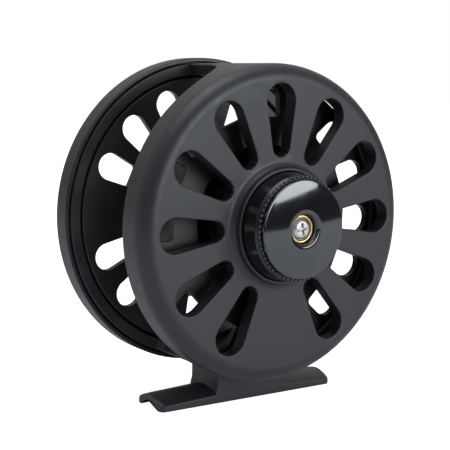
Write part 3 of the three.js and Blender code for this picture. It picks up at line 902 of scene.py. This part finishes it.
def build_spool_body():
    """Hub, arbor, far flange and palming rim, in one moulding, with the handle's boss."""
    shell = Shell()
    rings = partial(shell.rings, angles=COLUMNS)
    hub = rounded(
        [
            (COVER_IN, FAR_FACE),
            (BUSH_SEAT, FAR_FACE, 0.3),
            (BUSH_SEAT, WEB_FRONT, 0.1),
            (SPINDLE_BORE, WEB_FRONT, 0.1),
            (SPINDLE_BORE, WEB_BACK, 0.1),
            (CLUTCH_SEAT, WEB_BACK, 0.1),
            (CLUTCH_SEAT, HUB_BACK),
            (HUB_FLANGE_R, HUB_BACK),
            (HUB_FLANGE_R, HUB_FLANGE_FRONT),
            (HUB_R, HUB_FLANGE_FRONT, 0.5),
            (HUB_R, HUB_END, 1.0),
            (ARBOR_IN, HUB_END, 1.0),
            (ARBOR_IN, ARBOR_BACK, 0.3),
            (ARBOR_R, ARBOR_BACK, 0.3),
            (ARBOR_R, FAR_BACK),
        ],
        SOFT,
        closed=False,
    )[1:]
    hub_rings = shell.chain(rings(hub))
    cover = [
        *arc(FLANGE_R - FAR_RIM, FAR_BACK + FAR_RIM, FAR_RIM, -90, 0, 5),
        (FLANGE_R, COVER_BACK - 0.3),
        *arc(FLANGE_R + 0.3, COVER_BACK - 0.3, 0.3, 180, 90, 3),
        (COVER_OUT - 0.15, COVER_BACK),
        (COVER_OUT, COVER_BACK - 0.15),
        (COVER_OUT, PALM_BACK + 0.15),
        (COVER_OUT + 0.15, PALM_BACK),
        *arc(PALM_R - 0.4, PALM_BACK + 0.4, 0.4, -90, 0, 4),
        *arc(PALM_R - 0.6, COVER_FRONT - 0.6, 0.6, 0, 90, 5),
        *arc(COVER_IN + 0.5, COVER_FRONT - 0.5, 0.5, 90, 180, 4),
        (COVER_IN, FAR_FACE + 0.8),
        *arc(COVER_IN - 0.3, FAR_FACE + 0.3, 0.3, 0, -90, 4),
    ]
    cover_rings = shell.chain(rings(cover))
    holes = []
    for a in spool_slot_angles(FAR_SLOT_TURN, True):
        outline_at = partial(blunt_slot, FAR_SLOT, angle=a)
        holes.append(slot_wall(shell, outline_at, FAR_BACK, FAR_FACE, FAR_SLOT_EDGE))
    # The handle's boss stands on the front face, with a blind pocket for its insert.
    boss_profile = [
        *arc(5.6, FAR_FACE + 0.6, 0.6, -90, -180, 5),
        (5.0, 42.0),
        *arc(4.6, 42.0, 0.4, 0, 90, 4),
        (3.4, 42.4),
        (3.2, 42.2),
        (3.2, 38.5),
    ]
    boss = shell.chain([shell.loop(circle(HANDLE_AT, r, BOSS_AROUND), y) for r, y in boss_profile])
    shell.cap(boss[-1])
    # A small gate mark on the back face, behind the boss.
    mark_profile = [(0.9, 0), (0.65, -0.12), (0.4, -0.12), (0.3, 0.12)]
    rims = [(circle(HANDLE_AT, r, MARK_AROUND), FAR_BACK + y) for r, y in mark_profile]
    mark = shell.chain([shell.loop(outline, y) for outline, y in rims])
    shell.cap(mark[-1])
    shell.plate(cover_rings[0], hub_rings[-1], [h[0] for h in holes] + [mark[0]])
    shell.plate(cover_rings[-1], hub_rings[0], [h[1] for h in holes] + [boss[0]])
    return shell


build_rear_flange().piece("rear_flange", SPOOL, "spool", ["spool_rear_flange"])
build_spool_body().piece("spool_moulding", SPOOL, "spool", ["spool_body"])

# ---------------------------------------------------------------- drag knob

KNOB_BORE, KNOB_HUB_R, KNOB_IN, KNOB_NECK, KNOB_RIM, KNOB_BASE = 3.8, 6.2, 12.2, 12.9, 13.45, 13.9
KNOB_BACK, KNOB_HUB_BACK, KNOB_ROOF, KNOB_FRONT = -0.5, -3.9, -6.7, -8.2
BEADS = 60
BEAD_R = 12.9
BEAD_Y = -8.0
BEAD_HALVES = (0.45, 0.36, 0.38)  # along the axle, round the knob and outwards


def build_knob():
    """The knob's tapered side, with its pull-in at the beads, its roof and its hub."""
    shell = Shell()
    profile = rounded(
        [
            (KNOB_BORE, KNOB_FRONT, 0.1),
            (KNOB_NECK - 0.15, KNOB_FRONT),
            (KNOB_NECK, KNOB_FRONT + 0.6),
            (KNOB_RIM, KNOB_FRONT + 1.3, 0.3),
            (KNOB_BASE, KNOB_FRONT + 5, 0.3),
            (KNOB_BASE, KNOB_BACK),
            (KNOB_IN, KNOB_BACK),
            (KNOB_IN, KNOB_ROOF, 0.3),
            (KNOB_HUB_R, KNOB_ROOF, 0.3),
            (KNOB_HUB_R, KNOB_HUB_BACK),
            (KNOB_BORE, KNOB_HUB_BACK),
        ],
        SOFT,
    )
    revolve(shell, profile, 144)
    return shell


def build_beads():
    """The ring of small beads round the knob's front edge."""
    shell = Shell()
    along_half, around_half, out_half = BEAD_HALVES
    for middle in np.arange(BEADS) * 360 / BEADS:
        outwards = np.array(polar(1.0, middle))
        around = np.array((-outwards[1], outwards[0]))
        rows = []
        for v in np.radians(np.linspace(-75, 75, 7)):
            row = []
            for u in np.radians(np.arange(12) * 30):
                x, z = outwards * (BEAD_R + out_half * math.sin(v))
                x, z = (x, z) + around * around_half * math.cos(v) * math.sin(u)
                row.append(shell.point(x, BEAD_Y + along_half * math.cos(v) * math.cos(u), z))
            rows.append(row)
        shell.chain(rows)
        shell.cap(rows[0])
        shell.cap(rows[-1])
    return shell


build_knob().piece("knob_ring", KNOB, "knob", ["drag_knob"], "gloss")
build_beads().piece("knob_beads", GLOSS, "knob", (), "gloss")

CAP_BORE, CAP_R, CAP_BACK = 3.75, 12.5, -8.5
CAP_CROWN, CAP_SAG, CAP_EDGE = -10.0, 0.62, 12.1


def build_cap():
    """The knob's cap: a shallow dome with a round lip about its hole and a tight rim."""
    shell = Shell()
    dome = [(r, CAP_CROWN + CAP_SAG * (r / CAP_EDGE) ** 2) for r in np.linspace(5.2, 11.95, 10)]
    profile = [
        (CAP_BORE, CAP_BACK),
        (CAP_BORE, CAP_BACK - 0.4),
        *arc(CAP_BORE + 0.9, CAP_BACK - 0.5, 0.9, 180, 262, 6),
        *dome,
        *arc(CAP_EDGE, CAP_BACK - 0.5, 0.38, 275, 360, 6),
        (CAP_R, CAP_BACK - 0.15),
        (CAP_R - SOFT, CAP_BACK),
    ]
    revolve(shell, profile, 144)
    return shell


build_cap().piece("cap", GLOSS, "knob", ["knob_cap"], "gloss")

BUSH_BORE, BUSH_COUNTERBORE, BUSH_R, BUSH_FLANGE_R = 2.4, 2.95, 3.5, 5.8
BUSH_BACK, BUSH_NECK, BUSH_STEP, BUSH_FRONT = -2.4, -3.6, -7.0, -8.4

turned_piece(
    "bush",
    [
        (BUSH_BORE, BUSH_BACK),
        (BUSH_BORE, BUSH_STEP),
        (BUSH_COUNTERBORE, BUSH_STEP),
        (BUSH_COUNTERBORE, BUSH_FRONT),
        (BUSH_R, BUSH_FRONT),
        (BUSH_R, BUSH_NECK),
        (BUSH_FLANGE_R, BUSH_NECK),
        (BUSH_FLANGE_R, BUSH_BACK),
    ],
    0.12,
    BRASS,
    "knob",
    ["drag_bush"],
    "brass",
    72,
)


def build_cross_screw():
    """Pan head on a plain shank, and the two wedges that cut its cross recess."""
    head, seat, face = 2.78, -7.3, -8.85
    shank, end = 1.2, -3.6
    arm, half, depth = 1.75, 0.34, 0.85
    body = Shell()
    profile = [
        (0, face),
        (1.9, face, 0.6),
        (head, face + 0.65, 0.4),
        (head, seat),
        (shank, seat),
        (shank, end, 0.2),
        (0, end),
    ]
    revolve(body, rounded(profile, 0.1, closed=False), 48, closed=False)
    sections = [
        # place along the axle, reach and half width of an arm
        (face - 0.6, arm + 0.25, half + 0.08),
        (face, arm, half),
        (face + depth, arm * 0.35, half * 0.7),
    ]
    shells = [body]
    for angle in (10, 100):
        wedge = Shell()
        rows = []
        for y, reach, wide in sections:
            corners = [(-reach, -wide), (reach, -wide), (reach, wide), (-reach, wide)]
            rows.append(wedge.loop(turned(corners, angle), y))
        wedge.chain(rows)
        wedge.faces.append(tuple(rows[0]))
        wedge.faces.append(tuple(rows[-1]))
        shells.append(wedge)
    return shells


screw_mesh = boolean_mesh("screw", build_cross_screw(), "DIFFERENCE")
settle("screw", screw_mesh, STEEL, "frame", ["knob_screw"], 30)

# ---------------------------------------------------------------- handle and front cap

handle_low, handle_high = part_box("handle_knob")
HANDLE_START = (handle_low.y - FACE_Y) / MM
HANDLE_END = (handle_high.y - FACE_Y) / MM
GRIP_BORE, GRIP_RECESS = 2.1, 3.1
PIN_HEAD = HANDLE_END - 2.3
turned_piece(
    "handle_grip",
    [
        (GRIP_BORE, HANDLE_START),
        (4.0, HANDLE_START, 0.3),
        (4.4, HANDLE_START + 0.8, 0.4),
        (3.85, HANDLE_START + 4, 4.0),
        (4.25, HANDLE_START + 8, 6.0),
        (5.0, HANDLE_START + 11.8, 2.5),
        (4.9, HANDLE_END - 1.2, 0.8),
        (4.0, HANDLE_END, 0.6),
        (GRIP_RECESS, HANDLE_END, 0.2),
        (GRIP_RECESS, PIN_HEAD - 0.3, 0.1),
        (GRIP_BORE, PIN_HEAD - 0.3, 0.1),
    ],
    0.3,
    KNOB,
    "handle",
    ["handle_knob"],
    "gloss",
    64,
    HANDLE_AT,
)
turned_piece(
    "handle_pin",
    [
        (0, 38.9),
        (1.4, 38.9),
        (1.4, 42.7),
        (1.8, 42.7),
        (1.8, PIN_HEAD),
        (2.8, PIN_HEAD),
        (2.8, HANDLE_END - 0.75, 0.4),
        (1.9, HANDLE_END - 0.35, 0.4),
        (0.9, HANDLE_END - 0.3, 0.1),
        (0.75, HANDLE_END - 0.9, 0.1),
        (0, HANDLE_END - 0.9),
    ],
    0.12,
    STEEL,
    "spool",
    ["handle_screw"],
    "steel",
    48,
    HANDLE_AT,
)
turned_piece(
    "grip_washer",
    [(GRIP_BORE, 42.8), (4.1, 42.8), (4.1, 43.3), (GRIP_BORE, 43.3)],
    0.15,
    STEEL,
    "spool",
    ["handle_washer"],
    "steel",
    48,
    HANDLE_AT,
)

SCALLOPS = 12
SCALLOP_DEPTH = 0.55
SCALLOP_BACK, SCALLOP_FRONT, SCALLOP_RUN = 41.0, 45.4, 0.6


def build_front_cap():
    """The cap that holds the spool, with finger scallops round its side."""
    shell = Shell()
    count = 144
    profile = rounded(
        [
            (0, 44.5),
            (2.7, 44.5, 0.1),
            (2.7, 40.8, 0.2),
            (8.8, 40.8, 0.4),
            (9.0, 44.9, 0.5),
            (7.9, 45.9, 0.9),
            (3.2, 46.0, 0.4),
            (2.9, 45.7, 0.3),
            (0, 45.7),
        ],
        0.2,
        closed=False,
    )
    rings = revolve(shell, profile, count, closed=False)
    for (r, y), ring in zip(profile, rings):
        if r > 8.2 and SCALLOP_BACK < y < SCALLOP_FRONT:
            fade = min(1.0, (y - SCALLOP_BACK) / SCALLOP_RUN, (SCALLOP_FRONT - y) / SCALLOP_RUN)
            for k, index in enumerate(ring):
                wave = max(0.0, math.cos(math.radians(SCALLOPS * 360 * k / count))) ** 2
                depth = SCALLOP_DEPTH * wave * fade
                x, z = polar(r - depth, 360 * k / count)
                shell.points[index] = (x, y, z)
    return shell


build_front_cap().piece("front_cap", KNOB, "frame", ["spool_cap"], "gloss")

# ---------------------------------------------------------------- inner pieces from the CAD

FINISH = {
    "spindle": STEEL,
    "drag_disc": CORK,
    "drag_plate": STEEL,
    "thrust_washer": STEEL,
    "spring_washer_1": STEEL,
    "spring_washer_2": STEEL,
    "cap_washer": STEEL,
    "pawl_screw": STEEL,
    "pawl_spring": STEEL,
    "click_pawl": STEEL,
    "clutch_bearing": STEEL,
    "spool_bush": BRASS,
    "click_gear": STEEL,
    "gear_screw_1": STEEL,
    "gear_screw_2": STEEL,
    "gear_screw_3": STEEL,
    "handle_insert": BRASS,
}
INNER_EDGE = 0.08 * MM
for node_name, finish in FINISH.items():
    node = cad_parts[node_name]
    node.data.materials.clear()
    node.data.materials.append(finish)
    for face in node.data.polygons:
        face.use_smooth = True
    node.data.set_sharp_from_angle(angle=math.radians(30))
    soften = node.modifiers.new("edges", "BEVEL")
    soften.width = INNER_EDGE
    soften.segments = 2
    soften.limit_method = "ANGLE"
    soften.angle_limit = math.radians(40)

# ---------------------------------------------------------------- floor and light

# The floor ends a little way in front of the reel, like a table top.
FLOOR_FRONT, FLOOR_REACH = -0.36, 3.0
FLOOR_MIRRORED, FLOOR_SEEN = 0.1, 0.9
floor_z = frame_low.z
floor_mesh = bpy.data.meshes.new("floor")
floor_mesh.from_pydata(
    [
        (-FLOOR_REACH, FLOOR_FRONT, floor_z),
        (FLOOR_REACH, FLOOR_FRONT, floor_z),
        (FLOOR_REACH, FLOOR_REACH, floor_z),
        (-FLOOR_REACH, FLOOR_REACH, floor_z),
    ],
    [],
    [(0, 1, 2, 3)],
)
floor = bpy.data.objects.new("floor", floor_mesh)
bpy.context.scene.collection.objects.link(floor)
floor_finish, floor_nodes, floor_links, floor_shader = material("floor", (0.72, 0.74, 0.78), 0.9)
floor_shader.inputs["Emission Color"].default_value = (1, 1, 1, 1)
# Overexposed where it's seen, and only pale in what the reel mirrors.
floor_seen = floor_nodes.new("ShaderNodeLightPath").outputs["Is Camera Ray"]
glow = remap(floor_nodes, floor_links, floor_seen, FLOOR_MIRRORED, FLOOR_SEEN, 0, 1)
floor_links.new(glow, floor_shader.inputs["Emission Strength"])
floor_mesh.materials.append(floor_finish)

# The studio: bright behind and above, dim on the camera's side, and white wherever it is seen.
world = bpy.data.worlds.new("studio")
bpy.context.scene.world = world
world.use_nodes = True
world_nodes, world_links = world.node_tree.nodes, world.node_tree.links
background = world_nodes["Background"]
background.inputs["Strength"].default_value = 1.0


def world_node(kind, **settings):
    node = world_nodes.new(kind)
    for name, value in settings.items():
        setattr(node, name, value)
    return node


direction = world_node("ShaderNodeTexCoord").outputs["Generated"]
parts = world_node("ShaderNodeSeparateXYZ")
world_links.new(direction, parts.inputs[0])


def ramp(value, stops):
    """Grey by a value from -1 to 1, through (place, brightness) stops."""
    node = world_node("ShaderNodeValToRGB")
    shifted = world_node("ShaderNodeMapRange")
    shifted.inputs["From Min"].default_value = -1
    world_links.new(value, shifted.inputs["Value"])
    world_links.new(shifted.outputs["Result"], node.inputs["Fac"])
    elements = node.color_ramp.elements
    for k, (place, bright) in enumerate(stops):
        element = elements[k] if k < 2 else elements.new(0.5)
        element.position = (place + 1) / 2
        element.color = (bright, bright, bright, 1)
    return node.outputs["Color"]


FRONT_TO_BACK = [(-0.75, 0.05), (-0.2, 0.12), (0.15, 0.32), (0.6, 0.45)]
LEVEL_TO_OVERHEAD = [(0.0, 0.0), (0.45, 0.0), (0.9, 0.5)]
across = ramp(parts.outputs["Y"], FRONT_TO_BACK)
overhead = ramp(parts.outputs["Z"], LEVEL_TO_OVERHEAD)
added = world_node("ShaderNodeMixRGB", blend_type="ADD")
added.inputs["Fac"].default_value = 1
world_links.new(across, added.inputs[1])
world_links.new(overhead, added.inputs[2])
seen = world_node("ShaderNodeLightPath").outputs["Is Camera Ray"]
choice = world_node("ShaderNodeMixRGB")
world_links.new(seen, choice.inputs["Fac"])
world_links.new(added.outputs[0], choice.inputs[1])
choice.inputs[2].default_value = (1, 1, 1, 1)
world_links.new(choice.outputs[0], background.inputs["Color"])

DAYLIGHT = (0.90, 0.95, 1.0)


def softbox(name, at, size, power, roll=0.0, target=(0.0, 0.0, 0.045)):
    """A soft rectangular lamp aimed at the reel, rolled about its own beam by degrees."""
    data = bpy.data.lights.new(name, "AREA")
    data.shape = "RECTANGLE"
    data.size, data.size_y = size
    data.energy = power
    data.color = DAYLIGHT
    lamp = bpy.data.objects.new(name, data)
    bpy.context.scene.collection.objects.link(lamp)
    lamp.location = at
    lamp.rotation_mode = "QUATERNION"
    aim = (Vector(target) - Vector(at)).to_track_quat("-Z", "Y")
    lamp.rotation_quaternion = aim @ Quaternion((0, 0, 1), math.radians(roll))


# The big panel in front, above the floor, is what gives the frame's flat face its sheen.
softbox("front_right", (0.35, -0.91, 0.25), (0.68, 0.46), 6.5, 12)
softbox("top", (-0.1, -0.05, 0.95), (0.7, 0.7), 5)

bpy.context.scene.view_settings.view_transform = "Standard"
